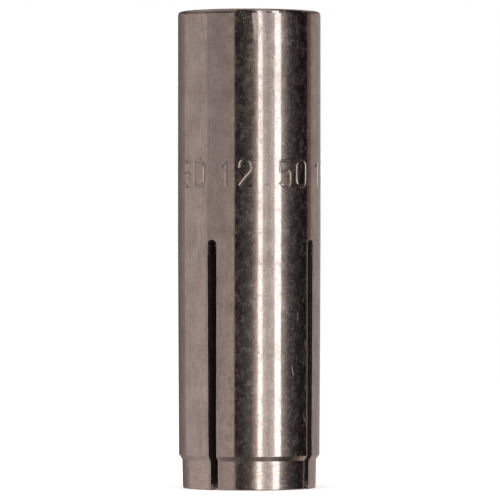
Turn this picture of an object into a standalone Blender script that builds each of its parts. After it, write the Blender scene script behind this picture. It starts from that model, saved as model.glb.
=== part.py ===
"""Drop-in anchor, M12 x 50: a slotted sleeve and the expander plug that is driven down inside it.

The origin is the centre of the slotted tip, and +Z points to the mouth. Lengths are in metres.
The four slots lie on the X and Y axes, so each leg is centred between two axes.
"""

import math

import bmesh
import bpy
from mathutils import Vector

MM = 0.001

# Sleeve
SLEEVE_LENGTH = 50.0 * MM
BORE_DIAMETER = 10.2 * MM  # the tapping drill of an M12 coarse thread
WALL = 2.4 * MM  # with the bore, this makes the 15 mm that fits a 15 mm hole
MOUTH_EDGE_RADIUS = 0.38 * MM
MOUTH_CHAMFER = 1.2 * MM  # leads the bolt into the thread
TAPER_LENGTH = 15.5 * MM  # the bore narrows over this length, down to the tip
TAPER_DEPTH = 1.6 * MM  # how far the bore has narrowed at the tip, on each side
NOSE_LENGTH = 3.0 * MM
NOSE_STEP = 0.35 * MM  # how far the nose stands in from the body, on each side
SHOULDER_LENGTH = 0.5 * MM  # sloping step between the nose and the body
TIP_CHAMFER = 0.08 * MM

# Slots that part the lower half into legs
SLOT_COUNT = 4
SLOT_WIDTH = 1.1 * MM
SLOT_LENGTH = 26.0 * MM
LEG_INSET = 0.13 * MM  # how far each leg's tip is pressed in, which holds the plug
LEG_BEND_POWER = 1.1  # between a straight hinge, 1, and an even bend, 2

# Expander plug
PLUG_LENGTH = 14.0 * MM
PLUG_CONE_LENGTH = 4.5 * MM
PLUG_CLEARANCE = 0.1 * MM  # between the plug and the bore, all round
SEAT_CLEARANCE = 0.1 * MM  # between the plug's cone and the tapered legs
PLUG_TOP_CHAMFER = 0.4 * MM
PLUG_NOSE_CHAMFER = 0.3 * MM

# Fineness of the facets
CIRCLE_STEPS = 120
ROUND_STEPS = 3  # along the rounded edge of the mouth
SLOT_END_STEPS = 9  # round the half circle at the top of a slot
BEND_RINGS = 4  # rings along each stretch of a leg, so that it can bend
SMOOTH_ANGLE = math.radians(30)

BORE_RADIUS = BORE_DIAMETER / 2
BODY_RADIUS = BORE_RADIUS + WALL
TAPER_SLOPE = TAPER_DEPTH / TAPER_LENGTH


def clear_scene():
    for old in list(bpy.data.objects):
        bpy.data.objects.remove(old)


def stainless_steel():
    """Plain stainless steel, bright and a little warm."""
    material = bpy.data.materials.new("stainless_steel")
    material.use_nodes = True
    shader = material.node_tree.nodes["Principled BSDF"]
    shader.inputs["Base Color"].default_value = (0.52, 0.47, 0.44, 1.0)
    shader.inputs["Metallic"].default_value = 1.0
    shader.inputs["Roughness"].default_value = 0.22
    return material


def add_object(name, bm):
    """Turns a bmesh into an object of the scene, with its faces pointing out."""
    bmesh.ops.recalc_face_normals(bm, faces=bm.faces)
    mesh = bpy.data.meshes.new(name)
    bm.to_mesh(mesh)
    bm.free()
    obj = bpy.data.objects.new(name, mesh)
    bpy.context.scene.collection.objects.link(obj)
    return obj


def shade(obj, material):
    obj.data.shade_smooth()
    obj.data.set_sharp_from_angle(angle=SMOOTH_ANGLE)
    obj.data.materials.append(material)


def turn_about_z(outline, closed):
    """Spins an outline of (radius, height) points into a solid. An open one gets a flat face at each end."""
    bm = bmesh.new()
    verts = [bm.verts.new((radius, 0.0, height)) for radius, height in outline]
    followers = verts[1:] + verts[:1] if closed else verts[1:]
    edges = [bm.edges.new(pair) for pair in zip(verts, followers)]
    bmesh.ops.spin(
        bm,
        geom=verts + edges,
        cent=(0.0, 0.0, 0.0),
        axis=(0.0, 0.0, 1.0),
        angle=math.tau,
        steps=CIRCLE_STEPS,
        use_merge=True,
    )
    if not closed:
        bmesh.ops.holes_fill(bm, edges=[edge for edge in bm.edges if edge.is_boundary])
    return bm


def leg_lean(height):
    """How far a leg stands in from its turned place at this height. The legs start at the slots' ends."""
    share = max(0.0, 1.0 - height / SLOT_LENGTH)
    return LEG_INSET * share**LEG_BEND_POWER


def bend_heights(lowest):
    """Heights of the rings that let a leg bend. The last is a slot's width above the slot's end."""
    highest = SLOT_LENGTH + SLOT_WIDTH
    if lowest >= highest:
        return []
    step = (highest - lowest) / BEND_RINGS
    return [lowest + step * (n + 1) for n in range(BEND_RINGS)]


def sleeve_outline():
    """The sleeve's wall as (radius, height) points: up the outside, over the mouth and down the bore."""
    nose = BODY_RADIUS - NOSE_STEP
    shoulder_top = NOSE_LENGTH + SHOULDER_LENGTH
    outside = [
        (nose - TIP_CHAMFER, 0.0),
        (nose, TIP_CHAMFER),
        (nose, NOSE_LENGTH),
        (BODY_RADIUS, shoulder_top),
    ]
    outside += [(BODY_RADIUS, height) for height in bend_heights(shoulder_top)]
    mouth = []
    for n in range(ROUND_STEPS + 1):
        angle = math.radians(90) * n / ROUND_STEPS
        radius = BODY_RADIUS - MOUTH_EDGE_RADIUS * (1 - math.cos(angle))
        height = SLEEVE_LENGTH - MOUTH_EDGE_RADIUS * (1 - math.sin(angle))
        mouth.append((radius, height))
    mouth.append((BORE_RADIUS + MOUTH_CHAMFER, SLEEVE_LENGTH))
    mouth.append((BORE_RADIUS, SLEEVE_LENGTH - MOUTH_CHAMFER))
    inside = [(BORE_RADIUS, height) for height in reversed(bend_heights(TAPER_LENGTH))]
    for n in range(BEND_RINGS + 1):
        share = n / BEND_RINGS
        inside.append((BORE_RADIUS - TAPER_DEPTH * share, TAPER_LENGTH * (1 - share)))
    return outside + mouth + inside


def slot_cutter(number):
    """A tall bar with a round top, from the axis out past the wall, that cuts one slot up from the tip."""
    half = SLOT_WIDTH / 2
    overrun = SLOT_WIDTH
    centre_height = SLOT_LENGTH - half
    outline = [(-half, -overrun), (half, -overrun)]
    for n in range(SLOT_END_STEPS + 1):
        angle = math.pi * n / SLOT_END_STEPS
        outline.append((half * math.cos(angle), centre_height + half * math.sin(angle)))
    bm = bmesh.new()
    face = bm.faces.new([bm.verts.new((0.0, across, height)) for across, height in outline])
    made = bmesh.ops.extrude_face_region(bm, geom=[face])
    moved = [item for item in made["geom"] if isinstance(item, bmesh.types.BMVert)]
    bmesh.ops.translate(bm, verts=moved, vec=(BODY_RADIUS + overrun, 0.0, 0.0))
    cutter = add_object(f"slot_cutter_{number}", bm)
    cutter.rotation_euler.z = math.tau * number / SLOT_COUNT
    cutter.hide_render = True
    cutter.display_type = "WIRE"
    return cutter


def cut_away(obj, cutters):
    """Cuts each cutter out of obj for good, and removes the cutters."""
    for cutter in cutters:
        cut = obj.modifiers.new(cutter.name, "BOOLEAN")
        cut.operation = "DIFFERENCE"
        cut.solver = "EXACT"
        cut.object = cutter
    graph = bpy.context.evaluated_depsgraph_get()
    mesh = bpy.data.meshes.new_from_object(obj.evaluated_get(graph))
    obj.modifiers.clear()
    obj.data = mesh
    for cutter in cutters:
        bpy.data.objects.remove(cutter)


def press_legs_in(obj):
    """Bends each leg towards the axis, along the middle of that leg."""
    sector = math.tau / SLOT_COUNT
    for vertex in obj.data.vertices:
        if vertex.co.z < SLOT_LENGTH:
            leg = math.floor(math.atan2(vertex.co.y, vertex.co.x) / sector)
            middle = (leg + 0.5) * sector
            inwards = Vector((-math.cos(middle), -math.sin(middle), 0.0))
            vertex.co += inwards * leg_lean(vertex.co.z)


def make_sleeve(material):
    sleeve = add_object("sleeve", turn_about_z(sleeve_outline(), closed=True))
    cut_away(sleeve, [slot_cutter(number) for number in range(SLOT_COUNT)])
    press_legs_in(sleeve)
    shade(sleeve, material)
    return sleeve


def plug_cone_top():
    """Height at which the plug's cone starts when it sits in the top of the taper, held by the legs."""
    lean = leg_lean(TAPER_LENGTH - PLUG_CONE_LENGTH)
    room = PLUG_CLEARANCE - SEAT_CLEARANCE - lean
    return TAPER_LENGTH - room / TAPER_SLOPE


def make_plug(material):
    """The plug stands with its own origin at the foot of its cone."""
    radius = BORE_RADIUS - PLUG_CLEARANCE
    foot = radius - TAPER_SLOPE * PLUG_CONE_LENGTH
    chamfered = foot + TAPER_SLOPE * PLUG_NOSE_CHAMFER
    outline = [
        (foot - PLUG_NOSE_CHAMFER, 0.0),
        (chamfered, PLUG_NOSE_CHAMFER),
        (radius, PLUG_CONE_LENGTH),
        (radius, PLUG_LENGTH - PLUG_TOP_CHAMFER),
        (radius - PLUG_TOP_CHAMFER, PLUG_LENGTH),
    ]
    plug = add_object("expander_plug", turn_about_z(outline, closed=False))
    plug.location.z = plug_cone_top() - PLUG_CONE_LENGTH
    shade(plug, material)
    return plug


def main():
    clear_scene()
    material = stainless_steel()
    make_sleeve(material)
    make_plug(material)


main()
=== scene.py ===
# Drop-in anchor, M12 x 50: a stainless sleeve with four legs, and the plug that spreads them.
import math
import bmesh
import bpy
from mathutils import Matrix, Vector, noise


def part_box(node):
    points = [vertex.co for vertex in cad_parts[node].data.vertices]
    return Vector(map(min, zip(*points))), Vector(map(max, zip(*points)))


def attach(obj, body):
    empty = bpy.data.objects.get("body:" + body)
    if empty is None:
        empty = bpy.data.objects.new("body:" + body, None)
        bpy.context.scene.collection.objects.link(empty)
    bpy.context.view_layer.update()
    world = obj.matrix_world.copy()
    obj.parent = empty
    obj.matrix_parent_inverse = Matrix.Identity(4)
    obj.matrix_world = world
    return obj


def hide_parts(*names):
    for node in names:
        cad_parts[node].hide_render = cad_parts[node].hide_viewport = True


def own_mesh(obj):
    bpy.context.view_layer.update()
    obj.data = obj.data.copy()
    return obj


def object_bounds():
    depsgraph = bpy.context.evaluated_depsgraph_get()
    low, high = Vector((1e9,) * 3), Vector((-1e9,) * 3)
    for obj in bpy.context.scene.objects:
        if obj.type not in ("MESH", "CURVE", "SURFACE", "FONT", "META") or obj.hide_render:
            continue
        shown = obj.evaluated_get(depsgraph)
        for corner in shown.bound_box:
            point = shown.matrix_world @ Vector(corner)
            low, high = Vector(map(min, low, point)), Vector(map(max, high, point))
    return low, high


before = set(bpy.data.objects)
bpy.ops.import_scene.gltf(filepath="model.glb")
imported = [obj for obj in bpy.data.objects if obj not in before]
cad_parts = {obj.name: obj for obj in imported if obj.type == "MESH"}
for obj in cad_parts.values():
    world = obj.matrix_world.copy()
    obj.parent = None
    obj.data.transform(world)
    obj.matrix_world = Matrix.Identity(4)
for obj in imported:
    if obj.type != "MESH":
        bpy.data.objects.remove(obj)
cadLow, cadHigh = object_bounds()
mm = 0.001
quarter = math.radians(90)
print("frame loaded")

sleeve = {
    "length": cadHigh.z,
    "radius": cadHigh.x,
    "boreRadius": 5.1 * mm,  # what is left of the bore between the turns of the thread
    "rimRadius": 0.38 * mm,
    "mouthChamfer": 1.2 * mm,
    "taperLength": 15.5 * mm,
    "taperDepth": 1.6 * mm,
    "noseLength": 3.0 * mm,
    "noseStep": 0.35 * mm,
    "noseTaper": 0.05 * mm,  # the tips are rolled in a little more than the rest of the nose
    "shoulder": 0.5 * mm,
    "tipChamfer": 0.08 * mm,
    "slotWidth": 1.1 * mm,
    "slotLength": 26.0 * mm,
    "legInset": 0.13 * mm,  # the tips are pressed in by this, so that they grip the plug
    "bendPower": 1.1,
    "edgeRadius": 0.06 * mm,  # tumbling has broken the sawn edges
    "cornerRadius": 0.08 * mm,  # and the turned ones
    "sawWander": 0.05 * mm,
    "rimWander": 0.05 * mm,
}
fineness = {
    "legArc": 72,  # faces across one leg
    "slotArc": 14,  # faces round the end of a slot
    "edge": 3,
    "wall": 6,
    "legHeights": 70,
    "noseHeights": 14,
    "archRows": 6,  # between a slot's round end and the plain tube above it
    "sharpAngle": math.radians(35),
}


def toLinear(hexColour):
    levels = [int(hexColour[i : i + 2], 16) / 255 for i in (1, 3, 5)]
    return [c / 12.92 if c < 0.04045 else ((c + 0.055) / 1.055) ** 2.4 for c in levels]


def addNode(tree, kind, inputs=None, **settings):
    made = tree.nodes.new(kind)
    for key, value in settings.items():
        setattr(made, key, value)
    for key, value in (inputs or {}).items():
        if isinstance(value, bpy.types.NodeSocket):
            tree.links.new(value, made.inputs[key])
        else:
            made.inputs[key].default_value = value
    return made


def newMaterial(name):
    made = bpy.data.materials.new(name)
    made.use_nodes = True
    return made, made.node_tree, made.node_tree.nodes["Principled BSDF"]


surface = {  # what the four steels share, as noise levels from 0 to 1 unless a unit is given
    "barRadius": 7.5,  # mm
    "wavePerMm": 0.16,
    "wornRange": (0.42, 0.66),
    "smearRange": (0.5, 0.72),
    "hazeWidth": 0.12,
    "toneRange": (0.3, 0.62),
    "nickCore": 0.04,
    "damageRough": 0.3,
    "scratchBend": 2.5,  # mm that a hairline strays from straight
    "scratchCell": (6.0, 0.4, 0),  # long thin cells, in cells to the mm
    "scratchEdge": (0.1, 0.24),
    "scratchDepth": 0.7,
}


def steel(name, look):
    made, tree, shader = newMaterial(name)
    place = addNode(tree, "ShaderNodeTexCoord").outputs["Object"]
    inMm = addNode(tree, "ShaderNodeVectorMath", {0: place, "Scale": 1 / mm}, operation="SCALE").outputs[0]
    part = addNode(tree, "ShaderNodeSeparateXYZ", {0: inMm})
    angle = addNode(
        tree, "ShaderNodeMath", {0: part.outputs["Y"], 1: part.outputs["X"]}, operation="ARCTAN2"
    ).outputs[0]
    around = addNode(
        tree, "ShaderNodeMath", {0: angle, 1: surface["barRadius"]}, operation="MULTIPLY"
    ).outputs[0]
    # the surface rolled out flat: millimetres round the bar, then up it
    flat = addNode(tree, "ShaderNodeCombineXYZ", {0: around, 1: part.outputs["Z"]}).outputs[0]

    # tool marks: noise drawn out along the way the tool or the die went
    stretched = addNode(
        tree, "ShaderNodeVectorMath", {0: inMm, 1: look["marksPerMm"]}, operation="MULTIPLY"
    ).outputs[0]
    marks = addNode(
        tree, "ShaderNodeTexNoise", {"Vector": stretched, "Scale": 1.0, "Detail": 3.0}
    ).outputs["Fac"]
    # grain: the fine peening that tumbling leaves
    grain = addNode(
        tree,
        "ShaderNodeTexNoise",
        {"Vector": inMm, "Scale": look["grainPerMm"], "Detail": 2.0, "Roughness": 0.6},
    ).outputs["Fac"]
    # handling haze: tiny dull specks, in thick and thin clouds, which put a mottled glow beside each lamp
    cloud = addNode(
        tree,
        "ShaderNodeTexNoise",
        {"Vector": inMm, "Scale": look["cloudPerMm"], "Detail": 6.0, "Roughness": 0.65},
    ).outputs["Fac"]
    specks = addNode(
        tree, "ShaderNodeTexNoise", {"Vector": inMm, "Scale": look["specksPerMm"], "Detail": 0.0}
    ).outputs["Fac"]
    haze = addNode(
        tree, "ShaderNodeMath", {0: cloud, 1: look["cloudContrast"], 2: specks}, operation="MULTIPLY_ADD"
    ).outputs[0]
    # worn patches, where the parts knocked together in the tumbler: deeper grain and less shine
    patch = addNode(
        tree,
        "ShaderNodeTexNoise",
        {"Vector": inMm, "Scale": look["patchPerMm"], "Detail": 4.0, "Roughness": 0.6},
    ).outputs["Fac"]
    wornFrom, wornTo = surface["wornRange"]
    worn = addNode(
        tree, "ShaderNodeMapRange", {"Value": patch, "From Min": wornFrom, "From Max": wornTo}
    ).outputs[0]
    # a thin smear of dried oil and dust, which scatters a little light where the steel mirrors the dark
    smearPlace = addNode(
        tree, "ShaderNodeVectorMath", {0: inMm, 1: look["smearPerMm"]}, operation="MULTIPLY"
    ).outputs[0]
    smear = addNode(
        tree, "ShaderNodeTexNoise", {"Vector": smearPlace, "Scale": 1.0, "Detail": 8.0, "Roughness": 0.78}
    ).outputs["Fac"]
    metallic = addNode(
        tree,
        "ShaderNodeMapRange",
        {
            "Value": smear,
            "From Min": surface["smearRange"][0],
            "From Max": surface["smearRange"][1],
            "To Min": look["metallic"],
            "To Max": look["metallic"] - look["smearDepth"],
        },
    ).outputs[0]
    tree.links.new(metallic, shader.inputs["Metallic"])
    # the bar is not quite round or straight, so a reflection's edge wanders a little
    wave = addNode(
        tree, "ShaderNodeTexNoise", {"Vector": inMm, "Scale": surface["wavePerMm"], "Detail": 1.0}
    ).outputs["Fac"]

    # pits and nicks, about 0.1 mm across
    cells = addNode(tree, "ShaderNodeTexVoronoi", {"Vector": inMm, "Scale": look["nicksPerMm"]})
    near = addNode(
        tree,
        "ShaderNodeMapRange",
        {
            "Value": cells.outputs["Distance"],
            "From Min": surface["nickCore"],
            "From Max": look["nickSize"],
            "To Min": 1.0,
            "To Max": 0.0,
        },
    ).outputs[0]
    picked = addNode(tree, "ShaderNodeSeparateColor", {"Color": cells.outputs["Color"]}).outputs[0]
    chosen = addNode(
        tree, "ShaderNodeMath", {0: picked, 1: 1 - look["nickShare"]}, operation="GREATER_THAN"
    ).outputs[0]
    damage = addNode(tree, "ShaderNodeMath", {0: near, 1: chosen}, operation="MULTIPLY").outputs[0]

    # hairline scratches: a few long thin cells, turned each way; drawn 0.07 mm wide so that they show
    bent = addNode(
        tree, "ShaderNodeTexNoise", {"Vector": flat, "Scale": 0.25, "Detail": 1.0}
    ).outputs["Color"]
    stray = (surface["scratchBend"], surface["scratchBend"], 0)
    curved = addNode(
        tree, "ShaderNodeVectorMath", {0: bent, 1: stray, 2: flat}, operation="MULTIPLY_ADD"
    ).outputs[0]
    for way in look["scratchAngles"]:
        swung = addNode(
            tree, "ShaderNodeVectorRotate", {"Vector": curved, "Angle": math.radians(way)}
        ).outputs[0]
        thin = addNode(
            tree, "ShaderNodeVectorMath", {0: swung, 1: surface["scratchCell"]}, operation="MULTIPLY"
        ).outputs[0]
        strips = addNode(
            tree, "ShaderNodeTexVoronoi", {"Vector": thin, "Scale": 1.0}, voronoi_dimensions="2D"
        )
        line = addNode(
            tree,
            "ShaderNodeMapRange",
            {
                "Value": strips.outputs["Distance"],
                "From Min": surface["scratchEdge"][0],
                "From Max": surface["scratchEdge"][1],
                "To Min": surface["scratchDepth"],
                "To Max": 0.0,
            },
        ).outputs[0]
        picked = addNode(tree, "ShaderNodeSeparateColor", {"Color": strips.outputs["Color"]}).outputs[0]
        chosen = addNode(
            tree, "ShaderNodeMath", {0: picked, 1: 1 - look["scratchShare"]}, operation="GREATER_THAN"
        ).outputs[0]
        damage = addNode(
            tree, "ShaderNodeMath", {0: line, 1: chosen, 2: damage}, operation="MULTIPLY_ADD"
        ).outputs[0]

    hazy = addNode(
        tree,
        "ShaderNodeMapRange",
        {
            "Value": haze,
            "From Min": look["hazeStart"],
            "From Max": look["hazeStart"] + surface["hazeWidth"],
            "To Min": look["roughness"][0],
            "To Max": look["roughness"][1],
        },
    ).outputs[0]
    rough = addNode(
        tree, "ShaderNodeMath", {0: worn, 1: look["wornRough"], 2: hazy}, operation="MULTIPLY_ADD"
    ).outputs[0]
    rough = addNode(
        tree,
        "ShaderNodeMath",
        {0: damage, 1: surface["damageRough"], 2: rough},
        operation="MULTIPLY_ADD",
        use_clamp=True,
    ).outputs[0]
    tree.links.new(rough, shader.inputs["Roughness"])

    tone = addNode(
        tree, "ShaderNodeMix", {0: look["grainShare"], 2: marks, 3: grain}, data_type="FLOAT"
    ).outputs[0]
    tone = addNode(
        tree, "ShaderNodeMix", {0: look["patchShare"], 2: tone, 3: patch}, data_type="FLOAT"
    ).outputs[0]
    ramp = addNode(tree, "ShaderNodeValToRGB", {"Fac": tone})
    stops = zip(ramp.color_ramp.elements, surface["toneRange"], (look["stain"], look["colour"]))
    for stop, level, colour in stops:
        stop.position = level
        stop.color = [*toLinear(colour), 1]
    tree.links.new(ramp.outputs[0], shader.inputs["Base Color"])

    height = addNode(
        tree, "ShaderNodeMath", {0: wave, 1: look["waveHeight"]}, operation="MULTIPLY"
    ).outputs[0]
    dents = addNode(tree, "ShaderNodeMath", {0: grain, 1: worn}, operation="MULTIPLY").outputs[0]
    layers = [
        (cloud, "cloudHeight"),
        (marks, "markHeight"),
        (grain, "grainHeight"),
        (dents, "dentHeight"),
        (damage, "damageHeight"),
    ]
    for layer, key in layers:
        height = addNode(
            tree, "ShaderNodeMath", {0: layer, 1: look[key], 2: height}, operation="MULTIPLY_ADD"
        ).outputs[0]
    bump = addNode(tree, "ShaderNodeBump", {"Height": height, "Distance": mm, "Strength": 1.0}).outputs[0]
    tree.links.new(bump, shader.inputs["Normal"])
    return made


# Drawn and tumbled stainless bar: nearly a mirror, cloudy and finely peened, with faint lines along it
drawnSteel = steel(
    "drawnStainless",
    {
        "colour": "#d6cfc9",
        "stain": "#a29790",
        "metallic": 1.0,
        "roughness": (0.07, 0.36),
        "specksPerMm": 20,
        "cloudContrast": 1.0,
        "hazeStart": 1.1,
        "marksPerMm": (5.0, 5.0, 0.5),
        "grainPerMm": 5.5,
        "grainShare": 0.6,
        "patchShare": 0.4,
        "cloudPerMm": 1.3,
        "patchPerMm": 0.4,
        "wornRough": 0.03,
        "smearPerMm": (1.3, 1.3, 0.9),
        "smearDepth": 0.1,
        "nicksPerMm": 2.3,
        "nickSize": 0.14,
        "nickShare": 0.32,
        "scratchAngles": (12, -28),
        "scratchShare": 0.004,
        "waveHeight": 0.002,
        "markHeight": 0.0003,
        "cloudHeight": 0.0003,
        "grainHeight": 0.0003,
        "dentHeight": 0.0004,
        "damageHeight": -0.013,
    },
)
# Turned stainless: rings left by the lathe tool, which break the reflections into ragged edges
turnedSteel = steel(
    "turnedStainless",
    {
        "colour": "#d8cfc9",
        "stain": "#ab9f97",
        "metallic": 1.0,
        "roughness": (0.12, 0.38),
        "specksPerMm": 20,
        "cloudContrast": 0.8,
        "hazeStart": 1.08,
        "marksPerMm": (1.6, 1.6, 6.5),
        "grainPerMm": 5.5,
        "grainShare": 0.4,
        "patchShare": 0.2,
        "cloudPerMm": 1.4,
        "patchPerMm": 0.6,
        "wornRough": 0.06,
        "smearPerMm": (2.4, 2.4, 3.4),
        "smearDepth": 0.09,
        "nicksPerMm": 2.2,
        "nickSize": 0.12,
        "nickShare": 0.3,
        "scratchAngles": (80, -70),
        "scratchShare": 0.008,
        "waveHeight": 0.002,
        "markHeight": 0.005,
        "cloudHeight": 0.003,
        "grainHeight": 0.0011,
        "dentHeight": 0.0004,
        "damageHeight": -0.01,
    },
)
# Sawn stainless: rough and half metallic, coloured dark brown so that the slots look nearly black; the dark
# colour is painted shade of the narrow slots
sawnSteel = steel(
    "sawnStainless",
    {
        # the dark brown colour and the near-black stain are painted shade of the narrow slots
        "colour": "#584a46",
        "stain": "#2a2220",
        "metallic": 0.5,
        "roughness": (0.35, 0.55),
        "specksPerMm": 8,
        "cloudContrast": 1.0,
        "hazeStart": 0.95,
        "marksPerMm": (0.7, 0.7, 8.0),
        "grainPerMm": 6.0,
        "grainShare": 0.3,
        "patchShare": 0.3,
        "cloudPerMm": 2.0,
        "patchPerMm": 0.8,
        "wornRough": 0.1,
        "smearPerMm": (1.5, 1.5, 1.5),
        "smearDepth": 0.2,
        "nicksPerMm": 2.0,
        "nickSize": 0.15,
        "nickShare": 0.3,
        "scratchAngles": (85,),
        "scratchShare": 0.05,
        "waveHeight": 0.0,
        "markHeight": 0.008,
        "cloudHeight": 0.004,
        "grainHeight": 0.003,
        "dentHeight": 0.004,
        "damageHeight": -0.008,
    },
)
# Tapped and drilled stainless: oily, with fine rings
boredSteel = steel(
    "boredStainless",
    {
        "colour": "#9a918b",
        "stain": "#5f5650",
        "metallic": 0.9,
        "roughness": (0.2, 0.38),
        "specksPerMm": 8,
        "cloudContrast": 1.0,
        "hazeStart": 0.95,
        "marksPerMm": (0.4, 0.4, 11.0),
        "grainPerMm": 5.0,
        "grainShare": 0.4,
        "patchShare": 0.2,
        "cloudPerMm": 1.4,
        "patchPerMm": 0.8,
        "wornRough": 0.05,
        "smearPerMm": (1.5, 1.5, 1.5),
        "smearDepth": 0.1,
        "nicksPerMm": 1.8,
        "nickSize": 0.12,
        "nickShare": 0.2,
        "scratchAngles": (75,),
        "scratchShare": 0.02,
        "waveHeight": 0.0,
        "markHeight": 0.004,
        "cloudHeight": 0.002,
        "grainHeight": 0.001,
        "dentHeight": 0.001,
        "damageHeight": -0.006,
    },
)
print("materials made")


def roundedPath(corners, steps=4):
    # corners are (radius, height, fillet); a fillet's arc is drawn as a curve that the corner pulls out
    path = []
    for i, (radius, height, fillet) in enumerate(corners):
        corner = Vector((radius, height))
        if fillet == 0 or i in (0, len(corners) - 1):
            path.append(corner)
            continue
        before = (Vector(corners[i - 1][:2]) - corner).normalized()
        after = (Vector(corners[i + 1][:2]) - corner).normalized()
        reach = fillet / math.tan(before.angle(after) / 2)
        for n in range(steps + 1):
            s = n / steps
            path.append(corner + before * reach * (1 - s) ** 2 + after * reach * s**2)
    return path


def along(path, height):
    # the radius of an upright path at a height
    for low, high in zip(path, path[1:]):
        if low.y <= height <= high.y and high.y > low.y:
            return low.x + (high.x - low.x) * (height - low.y) / (high.y - low.y)
    return path[-1].x if height > path[-1].y else path[0].x


halfSlot = sleeve["slotWidth"] / 2
seamHeight = sleeve["slotLength"] - halfSlot  # the legs' straight sides end here
noseRadius = sleeve["radius"] - sleeve["noseStep"]
tipRadius = noseRadius - sleeve["noseTaper"]
bodyStart = sleeve["noseLength"] + sleeve["shoulder"]
legOutside = roundedPath(
    [
        (tipRadius - sleeve["tipChamfer"], 0.0, 0),
        (tipRadius, sleeve["tipChamfer"], 0.5 * sleeve["cornerRadius"]),
        (noseRadius, sleeve["noseLength"], sleeve["cornerRadius"]),
        (sleeve["radius"], bodyStart, sleeve["cornerRadius"]),
        (sleeve["radius"], seamHeight, 0),
    ]
)


def boreAt(height):
    narrowing = sleeve["taperDepth"] * max(0.0, 1 - height / sleeve["taperLength"])
    lead = max(0.0, sleeve["tipChamfer"] - height)
    return sleeve["boreRadius"] - narrowing + lead


def leanAt(height):
    return sleeve["legInset"] * max(0.0, 1 - height / sleeve["slotLength"]) ** sleeve["bendPower"]


def sawWander(height, flank):
    # how far the saw strayed at this height; the flanks of the slots are numbered 0 to 7
    near = min(1.0, max(0.0, (seamHeight - height) / sleeve["slotWidth"]))
    coarse = noise.noise(Vector((height / (1.6 * mm), flank * 7.3, 0.5)))
    fine = noise.noise(Vector((height / (0.45 * mm), flank * 5.1, 9.5)))
    return sleeve["sawWander"] * (0.7 * coarse + 0.5 * fine) * near


def nearSlot(away):
    # 1 at a slot's flank, falling to 0 half a millimetre into the leg
    return min(1.0, max(0.0, 1 - (away - halfSlot) / (0.5 * mm)))


def slotSide(outer, inner, arc=quarter):
    # One side of a slot from the outer face to the bore, as (distance from the slot's middle, distance
    # from the axis). arc is the angle round the slot's end; a quarter turn is the straight side.
    edge = sleeve["edgeRadius"]
    reach = (halfSlot + edge) * math.sin(arc)
    top = math.sqrt(outer**2 - reach**2)
    foot = math.sqrt(inner**2 - reach**2)
    side = []
    for n in range(fineness["edge"] + 1):
        t = quarter * n / fineness["edge"]
        side.append((halfSlot + edge * (1 - math.sin(t)), top - edge * (1 - math.cos(t))))
    for n in range(1, fineness["wall"]):
        share = n / fineness["wall"]
        side.append((halfSlot, (top - edge) * (1 - share) + (foot + edge) * share))
    for n in range(fineness["edge"] + 1):
        t = quarter * n / fineness["edge"]
        side.append((halfSlot + edge * (1 - math.cos(t)), foot + edge * (1 - math.sin(t))))
    return side


def arcPoints(radius, steps):
    # across a leg, from the slot on one side to the slot on the other
    start = math.asin((halfSlot + sleeve["edgeRadius"]) / radius)
    angles = [start + (quarter - 2 * start) * n / steps for n in range(steps + 1)]
    return [(radius * math.cos(a), radius * math.sin(a)) for a in angles]


def meshObject(name, bm, materials, body):
    bmesh.ops.remove_doubles(bm, verts=bm.verts, dist=0.0005 * mm)
    bmesh.ops.recalc_face_normals(bm, faces=bm.faces)
    mesh = bpy.data.meshes.new(name)
    bm.to_mesh(mesh)
    bm.free()
    made = bpy.data.objects.new(name, mesh)
    bpy.context.scene.collection.objects.link(made)
    for material in materials:
        mesh.materials.append(material)
    mesh.shade_smooth()
    mesh.set_sharp_from_angle(angle=fineness["sharpAngle"])
    if body:
        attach(made, body)
    return made


sleeveMaterials = [drawnSteel, turnedSteel, sawnSteel, boredSteel]
drawn, turned, sawn, bored = range(4)

burrs = {  # slivers that the saw left hanging in the slots
    "width": 0.055 * mm,
    "steps": 6,
    "sides": 5,
    "root": 0.06 * mm,  # how far into the leg each one starts
    # at the foot of each flank, in mm: height, length, how far it curls up, how deep it sits
    "foot": [(0.08, 0.28, 0.75, 0.03), (0.1, 0.5, 0.6, 0.1), (0.12, 0.75, 0.3, 0.06), (0.4, 0.3, 0.5, 0.12)],
    # at the top of each flank
    "top": [(25.42, 0.24, -0.12, 0.02), (25.2, 0.16, -0.3, 0.05), (24.7, 0.2, -0.2, 0.1)],
}


def addBurrs(bm, number):
    # each tapers to a point in the slot
    for flank in (0, 1):
        for where in ("foot", "top"):
            for place, (height, length, curl, inset) in enumerate(burrs[where]):
                luck = noise.noise(Vector((number * 3.7 + flank * 1.9, place * 2.3, 4.1)))
                length = length * (1 + 1.2 * luck) * mm
                z = max(height * mm + 0.1 * mm * luck, 1.1 * burrs["width"])  # clear of the floor
                depth = along(legOutside, z) - (inset + 0.1 * abs(luck)) * mm
                rings = []
                for n in range(burrs["steps"] + 1):
                    share = n / burrs["steps"]
                    out = halfSlot + burrs["root"] - (length + burrs["root"]) * share
                    up = z + curl * mm * share**2
                    thick = burrs["width"] * (1 - 0.9 * share)
                    ring = []
                    for k in range(burrs["sides"]):
                        around = math.tau * k / burrs["sides"]
                        x = depth - 0.1 * mm * share**2 + thick * math.cos(around) * 0.5
                        spot = Vector((x, out, up + thick * math.sin(around)))
                        ring.append(spot if flank == 0 else Vector((spot.y, spot.x, spot.z)))
                    rings.append(ring)
                turn = Matrix.Rotation(quarter * number, 3, "Z")
                middle = Vector((math.cos(quarter / 2), math.sin(quarter / 2), 0))
                made = [[bm.verts.new(turn @ (p - middle * leanAt(p.z))) for p in ring] for ring in rings]
                for low, high in zip(made, made[1:]):
                    for k in range(burrs["sides"]):
                        m = (k + 1) % burrs["sides"]
                        bm.faces.new((low[k], low[m], high[m], high[k])).material_index = turned
                bm.faces.new(made[0]).material_index = turned
                bm.faces.new(made[-1]).material_index = turned


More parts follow.
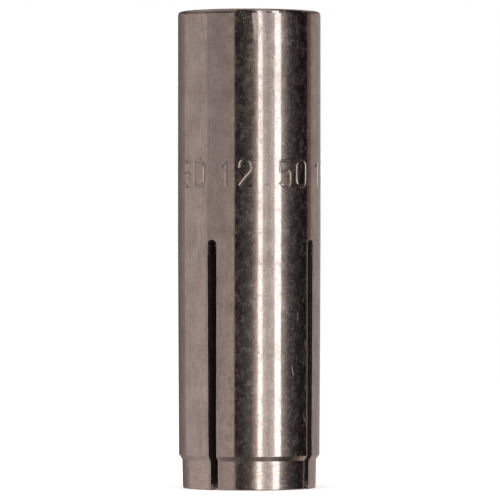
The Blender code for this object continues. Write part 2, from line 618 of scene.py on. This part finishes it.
def makeLeg(number):
    bm = bmesh.new()
    heights = {p.y for p in legOutside}
    bodyRows, noseRows = fineness["legHeights"], fineness["noseHeights"]
    heights |= {bodyStart + (seamHeight - bodyStart) * n / bodyRows for n in range(bodyRows)}
    heights |= {sleeve["noseLength"] * n / noseRows for n in range(noseRows)}
    middle = Vector((math.cos(quarter / 2), math.sin(quarter / 2), 0))
    turn = Matrix.Rotation(quarter * number, 3, "Z")
    edgeCount, wallCount = fineness["edge"], fineness["wall"]
    # the slot walls take the sawn steel, whose dark colour is painted shade
    kinds = [drawn] * (fineness["legArc"] + edgeCount) + [sawn] * wallCount
    kinds += [bored] * (fineness["legArc"] + 2 * edgeCount) + [sawn] * wallCount + [drawn] * edgeCount
    rings = []
    for height in sorted(heights):
        outer, inner = along(legOutside, height), boreAt(height)
        side = slotSide(outer, inner)
        across = arcPoints(outer, fineness["legArc"])
        back = arcPoints(inner, fineness["legArc"])
        ring = across + side[1:-1] + back[::-1] + [(y, x) for x, y in side[1:-1][::-1]]
        strayX, strayY = sawWander(height, 2 * number), sawWander(height, 2 * number + 1)
        ring = [(x + strayX * nearSlot(x), y + strayY * nearSlot(y)) for x, y in ring]
        shift = -middle * leanAt(height)
        rings.append([bm.verts.new(turn @ (Vector((x, y, height)) + shift)) for x, y in ring])
    for low, high in zip(rings, rings[1:]):
        for i, kind in enumerate(kinds):
            j = (i + 1) % len(kinds)
            face = bm.faces.new((low[i], low[j], high[j], high[i]))
            upper = high[i].co.z > bodyStart + sleeve["cornerRadius"] / 2
            face.material_index = turned if kind == drawn and not upper else kind
    bm.faces.new(rings[0]).material_index = turned
    bm.faces.new(rings[-1]).material_index = drawn
    addBurrs(bm, number)
    leg = meshObject(f"leg{number + 1}", bm, sleeveMaterials, "sleeve")
    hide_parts("sleeve")
    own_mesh(leg)
    return leg


stamp = {
    "marks": "12.50",
    "height": 2.6 * mm,
    "width": 1.35 * mm,
    "advance": 2.15 * mm,
    "middle": 32.9 * mm,
    "toolRadius": 0.18 * mm,
    "lift": 0.07 * mm,  # how far the middle of the punch's round nose stays off the surface
    "sides": 14,
    "bendSteps": 8,
}


def rimWander(angle, height):
    # the rounded rim dips a little here and there, most where it meets the side
    if height < sleeve["length"] - sleeve["rimRadius"] * 1.01:
        return 0.0
    share = 1 - 0.7 * (height - sleeve["length"] + sleeve["rimRadius"]) / sleeve["rimRadius"]
    around = Vector((math.cos(angle), math.sin(angle), 0)) * sleeve["radius"]
    rough = 0.6 * noise.noise(around / (0.9 * mm)) + 0.5 * noise.noise(around / (0.3 * mm))
    return sleeve["rimWander"] * share * (0.4 + abs(rough))


def makeCollar():
    bm = bmesh.new()
    edge = sleeve["edgeRadius"]
    reach = halfSlot + edge
    blendTop = seamHeight + 3 * halfSlot
    # each row is (radius, height, how far the slot's arch still lifts it, kind of face above it)
    archSteps = [n / fineness["archRows"] for n in range(fineness["archRows"] + 1)]
    rows = [(sleeve["radius"], seamHeight + (blendTop - seamHeight) * t, 1 - t, drawn) for t in archSteps]
    stampReach = stamp["height"] / 2 + stamp["toolRadius"] + 0.15 * mm
    mouth = roundedPath(
        [
            (sleeve["radius"], blendTop, 0),
            (sleeve["radius"], stamp["middle"] - stampReach, 0),
            (sleeve["radius"], stamp["middle"] + stampReach, 0),
            (sleeve["radius"], sleeve["length"] - sleeve["rimRadius"] - 0.12 * mm, 0),
            (sleeve["radius"], sleeve["length"], sleeve["rimRadius"]),
            (sleeve["boreRadius"] + sleeve["mouthChamfer"], sleeve["length"], sleeve["cornerRadius"]),
            (sleeve["boreRadius"], sleeve["length"] - sleeve["mouthChamfer"], sleeve["cornerRadius"]),
            (sleeve["boreRadius"], blendTop, 0),
        ],
        steps=5,
    )
    for p in mouth[1:-1]:
        onBody = p.x > sleeve["radius"] - 1e-7
        inBore = p.x < sleeve["boreRadius"] + 1e-7
        rows.append((p.x, p.y, 0, drawn if onBody else bored if inBore else turned))
    for t in reversed(archSteps):
        rows.append((sleeve["boreRadius"], seamHeight + (blendTop - seamHeight) * t, 1 - t, bored))
    columns = []  # (angle of the slot, angle round its arch) or (quarter, share across the leg)
    for number in range(4):
        columns += [("leg", number, n / fineness["legArc"]) for n in range(fineness["legArc"] + 1)]
        for n in range(1, fineness["slotArc"]):
            columns.append(("slot", number + 1, quarter * (2 * n / fineness["slotArc"] - 1)))
    rings = []
    for radius, height, lift, kind in rows:
        ring = []
        start = math.asin(reach / radius)
        for where, number, share in columns:
            if where == "leg":
                angle = number * quarter + start + (quarter - 2 * start) * share
                raised = 0
            else:
                angle = number * quarter + math.asin(reach * math.sin(share) / radius)
                raised = reach * math.cos(share) * lift
            dip = rimWander(angle, height) if radius > sleeve["radius"] - 2 * sleeve["rimRadius"] else 0
            away = radius - 0.7 * dip
            spot = (away * math.cos(angle), away * math.sin(angle), height + raised - dip)
            ring.append(bm.verts.new(spot))
        rings.append(ring)
    for row, (low, high) in enumerate(zip(rings, rings[1:])):
        for i in range(len(columns)):
            j = (i + 1) % len(columns)
            bm.faces.new((low[i], low[j], high[j], high[i])).material_index = rows[row][3]
    # the arch over each slot, from the outer face to the bore
    for number in range(4):
        turn = Matrix.Rotation(quarter * number, 3, "Z")
        arch = []
        for n in range(fineness["slotArc"] + 1):
            around = quarter * (2 * n / fineness["slotArc"] - 1)
            line = []
            for away, depth in slotSide(sleeve["radius"], sleeve["boreRadius"], around):
                spot = Vector((depth, away * math.sin(around), seamHeight + away * math.cos(around)))
                line.append(bm.verts.new(turn @ spot))
            arch.append(line)
        for left, right in zip(arch, arch[1:]):
            for i in range(len(left) - 1):
                face = bm.faces.new((left[i], left[i + 1], right[i + 1], right[i]))
                isEdge = i < fineness["edge"] or i >= fineness["edge"] + fineness["wall"]
                # the arch's wall takes the sawn steel, whose dark colour is painted shade
                face.material_index = drawn if isEdge else sawn
    bmesh.ops.remove_doubles(bm, verts=bm.verts, dist=0.0005 * mm)
    bmesh.ops.holes_fill(bm, edges=[e for e in bm.edges if e.is_boundary])
    return meshObject("collar", bm, sleeveMaterials, None)


thread = {
    "pitch": 1.75 * mm,
    "majorRadius": 6.0 * mm,
    "depth": 22.0 * mm,
    "flank": math.radians(30),
    "stepsPerTurn": 96,
    "fadeTurns": 0.6,
}


def makeTap():
    # the coil of metal that the tap cuts away: a right-hand helix of a clipped triangle
    bm = bmesh.new()
    root = sleeve["boreRadius"] - 0.25 * mm
    start = sleeve["length"] - thread["depth"]
    turns = (thread["depth"] + 2 * thread["pitch"]) / thread["pitch"]
    rings = []
    count = round(turns * thread["stepsPerTurn"])
    for n in range(count + 1):
        turn = n / thread["stepsPerTurn"]
        crest = root + (thread["majorRadius"] - root) * min(1.0, 0.05 + turn / thread["fadeTurns"])
        ring = []
        for radius, side in ((root, -1), (crest, -1), (crest, 1), (root, 1)):
            half = thread["pitch"] / 16 + (thread["majorRadius"] - radius) * math.tan(thread["flank"])
            angle = math.tau * turn
            z = start + thread["pitch"] * turn + side * half
            ring.append(bm.verts.new((radius * math.cos(angle), radius * math.sin(angle), z)))
        rings.append(ring)
    for low, high in zip(rings, rings[1:]):
        for i in range(4):
            j = (i + 1) % 4
            bm.faces.new((low[i], low[j], high[j], high[i]))
    bm.faces.new(rings[0])
    bm.faces.new(rings[-1])
    return meshObject("tap", bm, [boredSteel], None)


# The figures in a box one wide and one high. A stroke is (fillet at its corners, corners), and it runs
# round in a ring if it ends where it starts. No stroke crosses itself.
figures = {
    "1": [(0.0, [(0.15, 0.76), (0.55, 1.0)]), (0.0, [(0.55, 1.0), (0.55, 0.0)])],
    "2": [
        (0.42, [(0.02, 0.72), (0.1, 1.0), (0.9, 1.0), (0.98, 0.6), (0.5, 0.34), (0.02, 0.0)]),
        (0.0, [(0.02, 0.0), (1.0, 0.0)]),
    ],
    "5": [
        (0.42, [(0.08, 0.56), (0.98, 0.64), (0.98, 0.0), (0.3, 0.0), (0.0, 0.14)]),
        (0.0, [(0.08, 0.56), (0.12, 1.0)]),
        (0.0, [(0.12, 1.0), (0.95, 1.0)]),
    ],
    "0": [(0.5, [(0.0, 0.0), (0.0, 1.0), (1.0, 1.0), (1.0, 0.0), (0.0, 0.0)])],
    ".": [(0.0, [(0.5, 0.0), (0.5, 0.07)])],
}


def strokePath(fillet, corners):
    # flat points in metres, with a curve in place of each corner
    points = [Vector((x * stamp["width"], y * stamp["height"])) for x, y in corners]
    ring = points[0] == points[-1]
    if ring:
        points = points[:-1]
    path = []
    for i, here in enumerate(points):
        if not ring and i in (0, len(points) - 1):
            path.append(here)
            continue
        before, after = points[i - 1] - here, points[(i + 1) % len(points)] - here
        reach = fillet * stamp["width"] / math.tan(before.angle(after) / 2)
        reach = min(reach, before.length * 0.48, after.length * 0.48)
        toBefore, toAfter = before.normalized() * reach, after.normalized() * reach
        for n in range(stamp["bendSteps"] + 1):
            s = n / stamp["bendSteps"]
            path.append(here + toBefore * (1 - s) ** 2 + toAfter * s**2)
    return path, ring


def punchStroke(bm, path, ring, middleAngle):
    # a round bar along the path, wrapped round the sleeve
    rings = []
    count = len(path)
    for n, point in enumerate(path):
        if ring:
            ahead = path[(n + 1) % count] - path[n - 1]
        else:
            ahead = path[min(n + 1, count - 1)] - path[max(n - 1, 0)]
        ahead.normalize()
        angle = middleAngle + point.x / sleeve["radius"]
        out = Vector((math.cos(angle), math.sin(angle), 0))
        right = Vector((-math.sin(angle), math.cos(angle), 0))
        sideways = right * ahead.y - Vector((0, 0, 1)) * ahead.x
        centre = out * (sleeve["radius"] + stamp["lift"])
        centre.z = stamp["middle"] + point.y - stamp["height"] / 2
        turns = [math.tau * k / stamp["sides"] for k in range(stamp["sides"])]
        rings.append(
            [
                bm.verts.new(centre + (sideways * math.cos(a) + out * math.sin(a)) * stamp["toolRadius"])
                for a in turns
            ]
        )
    pairs = list(zip(rings, rings[1:]))
    if ring:
        pairs.append((rings[-1], rings[0]))
    else:
        bm.faces.new(rings[0])
        bm.faces.new(rings[-1])
    for low, high in pairs:
        for k in range(stamp["sides"]):
            m = (k + 1) % stamp["sides"]
            bm.faces.new((low[k], low[m], high[m], high[k]))


def makePunches():
    # strokes that meet are put in separate punches, because a punch mustn't cross itself
    punches = []
    for turn in range(max(len(strokes) for strokes in figures.values())):
        bm = bmesh.new()
        for leg in range(4):
            for place, figure in enumerate(stamp["marks"]):
                if turn >= len(figures[figure]):
                    continue
                across = (place - (len(stamp["marks"]) - 1) / 2) * stamp["advance"] - stamp["width"] / 2
                path, ring = strokePath(*figures[figure][turn])
                punchStroke(bm, path, ring, quarter * (leg + 0.5) + across / sleeve["radius"])
        punches.append(meshObject(f"punch{turn + 1}", bm, [turnedSteel], None))
    return punches


def trueRound(mesh):
    # gives the side of the sleeve the normals of a true cylinder, also next to a cut
    normals = [Vector(corner.vector) for corner in mesh.corner_normals]
    for face in mesh.polygons:
        points = [mesh.vertices[i].co for i in face.vertices]
        onSide = all(abs(p.xy.length - sleeve["radius"]) < 0.002 * mm for p in points)
        if abs(face.normal.z) < 0.02 and onSide:
            for loop, p in zip(face.loop_indices, points):
                normals[loop] = Vector((p.x, p.y, 0)).normalized()
    mesh.normals_split_custom_set(normals)


def cutAway(target, *cutters):
    for cutter in cutters:
        cut = target.modifiers.new(cutter.name, "BOOLEAN")
        cut.operation = "DIFFERENCE"
        cut.solver = "EXACT"
        cut.object = cutter
        cut.material_mode = "TRANSFER"
    graph = bpy.context.evaluated_depsgraph_get()
    mesh = bpy.data.meshes.new_from_object(target.evaluated_get(graph))
    target.modifiers.clear()
    target.data = mesh
    mesh.set_sharp_from_angle(angle=fineness["sharpAngle"])
    trueRound(mesh)
    for cutter in cutters:
        bpy.data.objects.remove(cutter)


collar = makeCollar()
cutAway(collar, makeTap(), *makePunches())
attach(collar, "sleeve")
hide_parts("sleeve")
print("collar made", len(collar.data.polygons), "faces")
legs = [makeLeg(number) for number in range(4)]
print("legs made")

plugLow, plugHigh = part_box("expander_plug")
plug = {
    "radius": plugHigh.x,
    "bottom": plugLow.z,
    "top": plugHigh.z,
    "coneLength": 4.5 * mm,
    "topChamfer": 0.4 * mm,
    "noseChamfer": 0.3 * mm,
    "steps": 192,
}


def spin(path, steps):
    # a path of (radius, height) points spun round the axis; it starts and ends on the axis
    bm = bmesh.new()
    rings = []
    for p in path:
        if p.x < 1e-7:
            rings.append([bm.verts.new((0, 0, p.y))] * steps)
            continue
        angles = [math.tau * n / steps for n in range(steps)]
        rings.append([bm.verts.new((p.x * math.cos(a), p.x * math.sin(a), p.y)) for a in angles])
    for low, high in zip(rings, rings[1:]):
        for i in range(steps):
            j = (i + 1) % steps
            bm.faces.new(list(dict.fromkeys((low[i], low[j], high[j], high[i]))))
    return bm


def makePlug():
    slope = sleeve["taperDepth"] / sleeve["taperLength"]
    foot = plug["radius"] - slope * plug["coneLength"]
    fillet = sleeve["cornerRadius"]
    path = roundedPath(
        [
            (0.0, plug["bottom"], 0),
            (foot - plug["noseChamfer"], plug["bottom"], fillet),
            (foot + slope * plug["noseChamfer"], plug["bottom"] + plug["noseChamfer"], fillet),
            (plug["radius"], plug["bottom"] + plug["coneLength"], fillet),
            (plug["radius"], plug["top"] - plug["topChamfer"], fillet),
            (plug["radius"] - plug["topChamfer"], plug["top"], fillet),
            (0.0, plug["top"], 0),
        ]
    )
    made = meshObject("plug", spin(path, plug["steps"]), [turnedSteel], "plug")
    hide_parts("expander_plug")
    return made


makePlug()
print("plug made")

# The studio: a ring of cards and lamps that the polished bar mirrors, with a table below and a ceiling
# above. Degrees are counted round the object, from the camera to the right.
studio = {
    "cameraSide": math.radians(31.5),
    "radius": 0.9,
    "table": -0.75,
    "tableInner": 0.6,  # the sloping shoulder mirrors the table inside this
    "tableOuter": 0.72,  # and beyond this the table takes the light of the cards
    "eyeLow": -0.041,  # the camera sees the bar mirror the cards between these heights
    "eyeHigh": 0.1,
    "cardTop": 0.2,
    "gapTop": 0.48,
    "ceiling": 1.1,
    "ceilingReach": 0.55,
    "ceilingLevel": 0.36,
    "gapShare": 0.4,  # what is left of a card's brightness in the dark gap between it and the ceiling
    "lampLevel": 0.6,  # anything brighter is a tall lamp, which has no gap
    "tints": {
        "wall": "#ffece8",
        "warmWall": "#ffe9e3",
        "fringe": "#ffe8dc",
        "brown": "#ffdace",
        "cloth": "#fff3f0",
        "lamp": "#fffbf9",
    },
}
# Each is: from, to, brightness at each end, how fast it fades from the one to the other, how much
# brighter it is low down, tint.
cards = {
    "backLeftLamp": (-180, -174, 1.5, 1.5, 1, 0.0, "lamp"),
    "backLeftCurtain": (-174, -128, 0.07, 0.32, 1, 0.0, "wall"),
    "leftWall": (-128, -72, 0.45, 0.5, 1, 0.16, "wall"),
    "nearLeftWall": (-72, -45, 0.365, 0.35, 1, 0.2, "wall"),
    "wallEdge": (-45, -23.7, 0.355, 0.395, 1, 0.31, "warmWall"),
    "cameraCurtain": (4, -23.7, 0.1, 0.015, 1.6, 0.4, "cloth"),
    "lampSpill": (4, 9, 0.09, 0.26, 1, 0.9, "fringe"),
    "lampFringe": (9, 14.2, 0.26, 0.68, 1, 0.7, "fringe"),
    "firstStripLamp": (14.2, 21.2, 1.85, 1.85, 1, 0.25, "lamp"),
    "diffuser": (21.2, 31, 0.79, 0.51, 1, 0.28, "cloth"),
    "diffuserEdge": (31, 41.4, 0.51, 0.75, 1, 0.28, "cloth"),
    "secondStripLamp": (41.4, 52.1, 2.0, 2.0, 1, 0.25, "lamp"),
    "lampShade": (52.1, 70, 0.54, 0.07, 1.5, 0.0, "cloth"),
    "rightCurtain": (70, 107, 0.065, 0.012, 3, 0.25, "wall"),
    "rightDoorway": (107, 112.5, 0.09, 0.19, 1, 0.0, "brown"),
    "doorFrame": (112.5, 118.2, 0.19, 0.18, 1, 0.0, "brown"),
    "rightWall": (118.2, 135, 0.36, 0.435, 1, 0.05, "wall"),
    "farRightWall": (135, 174, 0.37, 0.45, 1, 0.0, "wall"),
    "backRightLamp": (174, 180, 1.5, 1.5, 1, 0.0, "lamp"),
}
# How bright the table is at each angle, as the sloping shoulder mirrors it
tableStops = [
    (-180, 0.4),
    (-100, 0.46),
    (-84, 0.42),
    (-72, 0.24),
    (-50, 0.19),
    (-36, 0.12),
    (-20, 0.065),
    (2, 0.09),
    (14, 0.22),
    (30, 0.25),
    (56, 0.29),
    (74, 0.17),
    (90, 0.035),
    (97, 0.035),
    (110, 0.12),
    (121, 0.28),
    (138, 0.48),
    (180, 0.4),
]
# A small card close to the mouth, which lights a wedge beside the first lamp's reflection. Each row is a
# height, the left edge, and the brightness.
wedge = {
    "rows": [
        (47.0 * mm, 6.9, 0.25),
        (47.6 * mm, 6.4, 0.5),
        (48.7 * mm, 5.7, 0.85),
        (49.9 * mm, 3.9, 0.8),
        (52.0 * mm, 3.5, 0.8),
    ],
    "right": 11.2,
    "radius": 25 * mm,
}


def between(stops, where):
    for (a, low), (b, high) in zip(stops, stops[1:]):
        if a <= where <= b:
            return low + (high - low) * (where - a) / (b - a)
    return stops[-1][1]


def stageObject(name, mesh, material):
    made = bpy.data.objects.new(name, mesh)
    bpy.context.scene.collection.objects.link(made)
    mesh.materials.append(material)
    return made


def ringPoint(away, degrees, height):
    angle = studio["cameraSide"] + math.radians(degrees)
    return (away * math.sin(angle), -away * math.cos(angle), height)


def glowingCard(name, columns, tint):
    # columns of (point, brightness), all equally long, joined into one sheet
    rows = len(columns[0])
    faces = []
    for column in range(len(columns) - 1):
        for row in range(rows - 1):
            corner = column * rows + row
            faces.append((corner, corner + 1, corner + rows + 1, corner + rows))
    mesh = bpy.data.meshes.new(name)
    mesh.from_pydata([point for column in columns for point, glow in column], [], faces)
    levels = [glow for column in columns for point, glow in column]
    mesh.attributes.new("glow", "FLOAT", "POINT").data.foreach_set("value", levels)
    made, tree, shader = newMaterial(name)
    tree.nodes.remove(shader)
    strength = addNode(tree, "ShaderNodeAttribute", attribute_name="glow").outputs["Fac"]
    emission = addNode(
        tree, "ShaderNodeEmission", {"Color": [*toLinear(studio["tints"][tint]), 1], "Strength": strength}
    ).outputs[0]
    tree.links.new(emission, tree.nodes["Material Output"].inputs["Surface"])
    card = stageObject(name, mesh, made)
    card.visible_camera = False  # only the steel sees the cards
    card.visible_diffuse = False
    card.visible_shadow = False


def makeCard(name, start, end, levelStart, levelEnd, fade, lowGain, tint):
    steps = max(2, math.ceil(abs(end - start)))
    columns = []
    for n in range(steps + 1):
        share = n / steps
        degrees = start + (end - start) * share
        level = levelEnd + (levelStart - levelEnd) * (1 - share) ** fade
        gap = level if level > studio["lampLevel"] else level * studio["gapShare"]
        tableLevel = between(tableStops, degrees)
        column = [
            (0, studio["table"], tableLevel),
            (studio["tableInner"], studio["table"], tableLevel),
            (studio["tableOuter"], studio["table"], max(level, tableLevel)),
            (studio["radius"], studio["table"], max(level, tableLevel)),
            (studio["radius"], studio["eyeLow"], level * (1 + lowGain)),
            (studio["radius"], studio["eyeHigh"], level),
            (studio["radius"], studio["cardTop"], level),
            (studio["radius"], studio["cardTop"] + 0.03, gap),
            (studio["radius"], studio["gapTop"], gap),
            (studio["radius"], studio["gapTop"] + 0.05, min(level, 0.5)),
            (studio["ceilingReach"], studio["ceiling"], min(level, 0.5)),
            (0, studio["ceiling"], studio["ceilingLevel"]),
        ]
        columns.append([(ringPoint(away, degrees, height), glow) for away, height, glow in column])
    glowingCard(name, columns, tint)


for name, card in cards.items():
    makeCard(name, *card)
glowingCard(
    "doorwayLight",
    [
        [(ringPoint(wedge["radius"], left, height), glow) for height, left, glow in wedge["rows"]],
        [(ringPoint(wedge["radius"], wedge["right"], height), glow) for height, left, glow in wedge["rows"]],
    ],
    "cloth",
)

scene = bpy.context.scene
scene.view_settings.view_transform = "Standard"

world = bpy.data.worlds.new("paleStudio")
scene.world = world
world.use_nodes = True
tree = world.node_tree
background = tree.nodes["Background"]
background.inputs["Color"].default_value = [1, 1, 1, 1]
rays = addNode(tree, "ShaderNodeLightPath")
shown = addNode(
    tree,
    "ShaderNodeMath",
    {0: rays.outputs["Is Camera Ray"], 1: rays.outputs["Is Glossy Ray"]},
    operation="ADD",
).outputs[0]
strength = addNode(tree, "ShaderNodeMapRange", {"Value": shown, "To Min": 0.8, "To Max": 1.0}).outputs[0]
tree.links.new(strength, background.inputs["Strength"])

floorLook = {
    "radius": 0.5,
    "steps": 96,
    "drop": 0.01 * mm,  # keeps the floor and the tips' faces apart
    "colour": "#f4f2ef",
    "cameraGlow": 0.3,
}
floorMesh = bpy.data.meshes.new("floor")
turns = [math.tau * n / floorLook["steps"] for n in range(floorLook["steps"])]
reach = floorLook["radius"]
rim = [(reach * math.cos(a), reach * math.sin(a), -floorLook["drop"]) for a in turns]
floorMesh.from_pydata(rim, [], [tuple(range(floorLook["steps"]))])
floorMaterial, tree, shader = newMaterial("paleFloor")
shader.inputs["Base Color"].default_value = [*toLinear(floorLook["colour"]), 1]
shader.inputs["Roughness"].default_value = 0.9
shader.inputs["Emission Color"].default_value = [1, 1, 1, 1]
rays = addNode(tree, "ShaderNodeLightPath")
lift = addNode(
    tree,
    "ShaderNodeMath",
    {0: rays.outputs["Is Camera Ray"], 1: floorLook["cameraGlow"]},
    operation="MULTIPLY",
).outputs[0]
tree.links.new(lift, shader.inputs["Emission Strength"])
# the floor can be seen through from below, so that the tips show
side = addNode(tree, "ShaderNodeNewGeometry").outputs["Backfacing"]
clear = addNode(tree, "ShaderNodeBsdfTransparent").outputs[0]
seen = addNode(tree, "ShaderNodeMixShader", {0: side, 1: shader.outputs[0], 2: clear}).outputs[0]
tree.links.new(seen, tree.nodes["Material Output"].inputs["Surface"])
floor = stageObject("floor", floorMesh, floorMaterial)
floor.visible_glossy = False

softbox = {"size": 0.5, "energy": 2, "place": (0.1, -0.25, 0.7)}
lampData = bpy.data.lights.new("softbox", "AREA")
lampData.shape = "SQUARE"
lampData.size = softbox["size"]
lampData.energy = softbox["energy"]
lamp = bpy.data.objects.new("softbox", lampData)
lamp.location = softbox["place"]
lamp.rotation_mode = "QUATERNION"
lamp.rotation_quaternion = lamp.location.to_track_quat("Z", "Y")
lamp.visible_camera = False
lamp.visible_glossy = False
scene.collection.objects.link(lamp)

view = {
    "distance": 0.5,
    "height": 22.5 * mm,
    "lens": 342.4,
    "imageSize": 500,
    "axisAcross": 249.3,  # where the anchor's axis falls in the image
    "horizon": 273.5,  # and the row that is level with the camera
}
cameraData = bpy.data.cameras.new("camera")
cameraData.lens = view["lens"]
cameraData.sensor_width = 36
cameraData.shift_x = (view["imageSize"] / 2 - view["axisAcross"]) / view["imageSize"]
cameraData.clip_start, cameraData.clip_end = 0.01, 10
camera = bpy.data.objects.new("camera", cameraData)
side = studio["cameraSide"]
camera.location = (view["distance"] * math.sin(side), -view["distance"] * math.cos(side), view["height"])
pixelsPerTurn = view["lens"] / cameraData.sensor_width * view["imageSize"]
tilt = math.atan((view["horizon"] - view["imageSize"] / 2) / pixelsPerTurn)
camera.rotation_euler = (quarter + tilt, 0, side)
scene.collection.objects.link(camera)
scene.camera = camera
print("studio made")
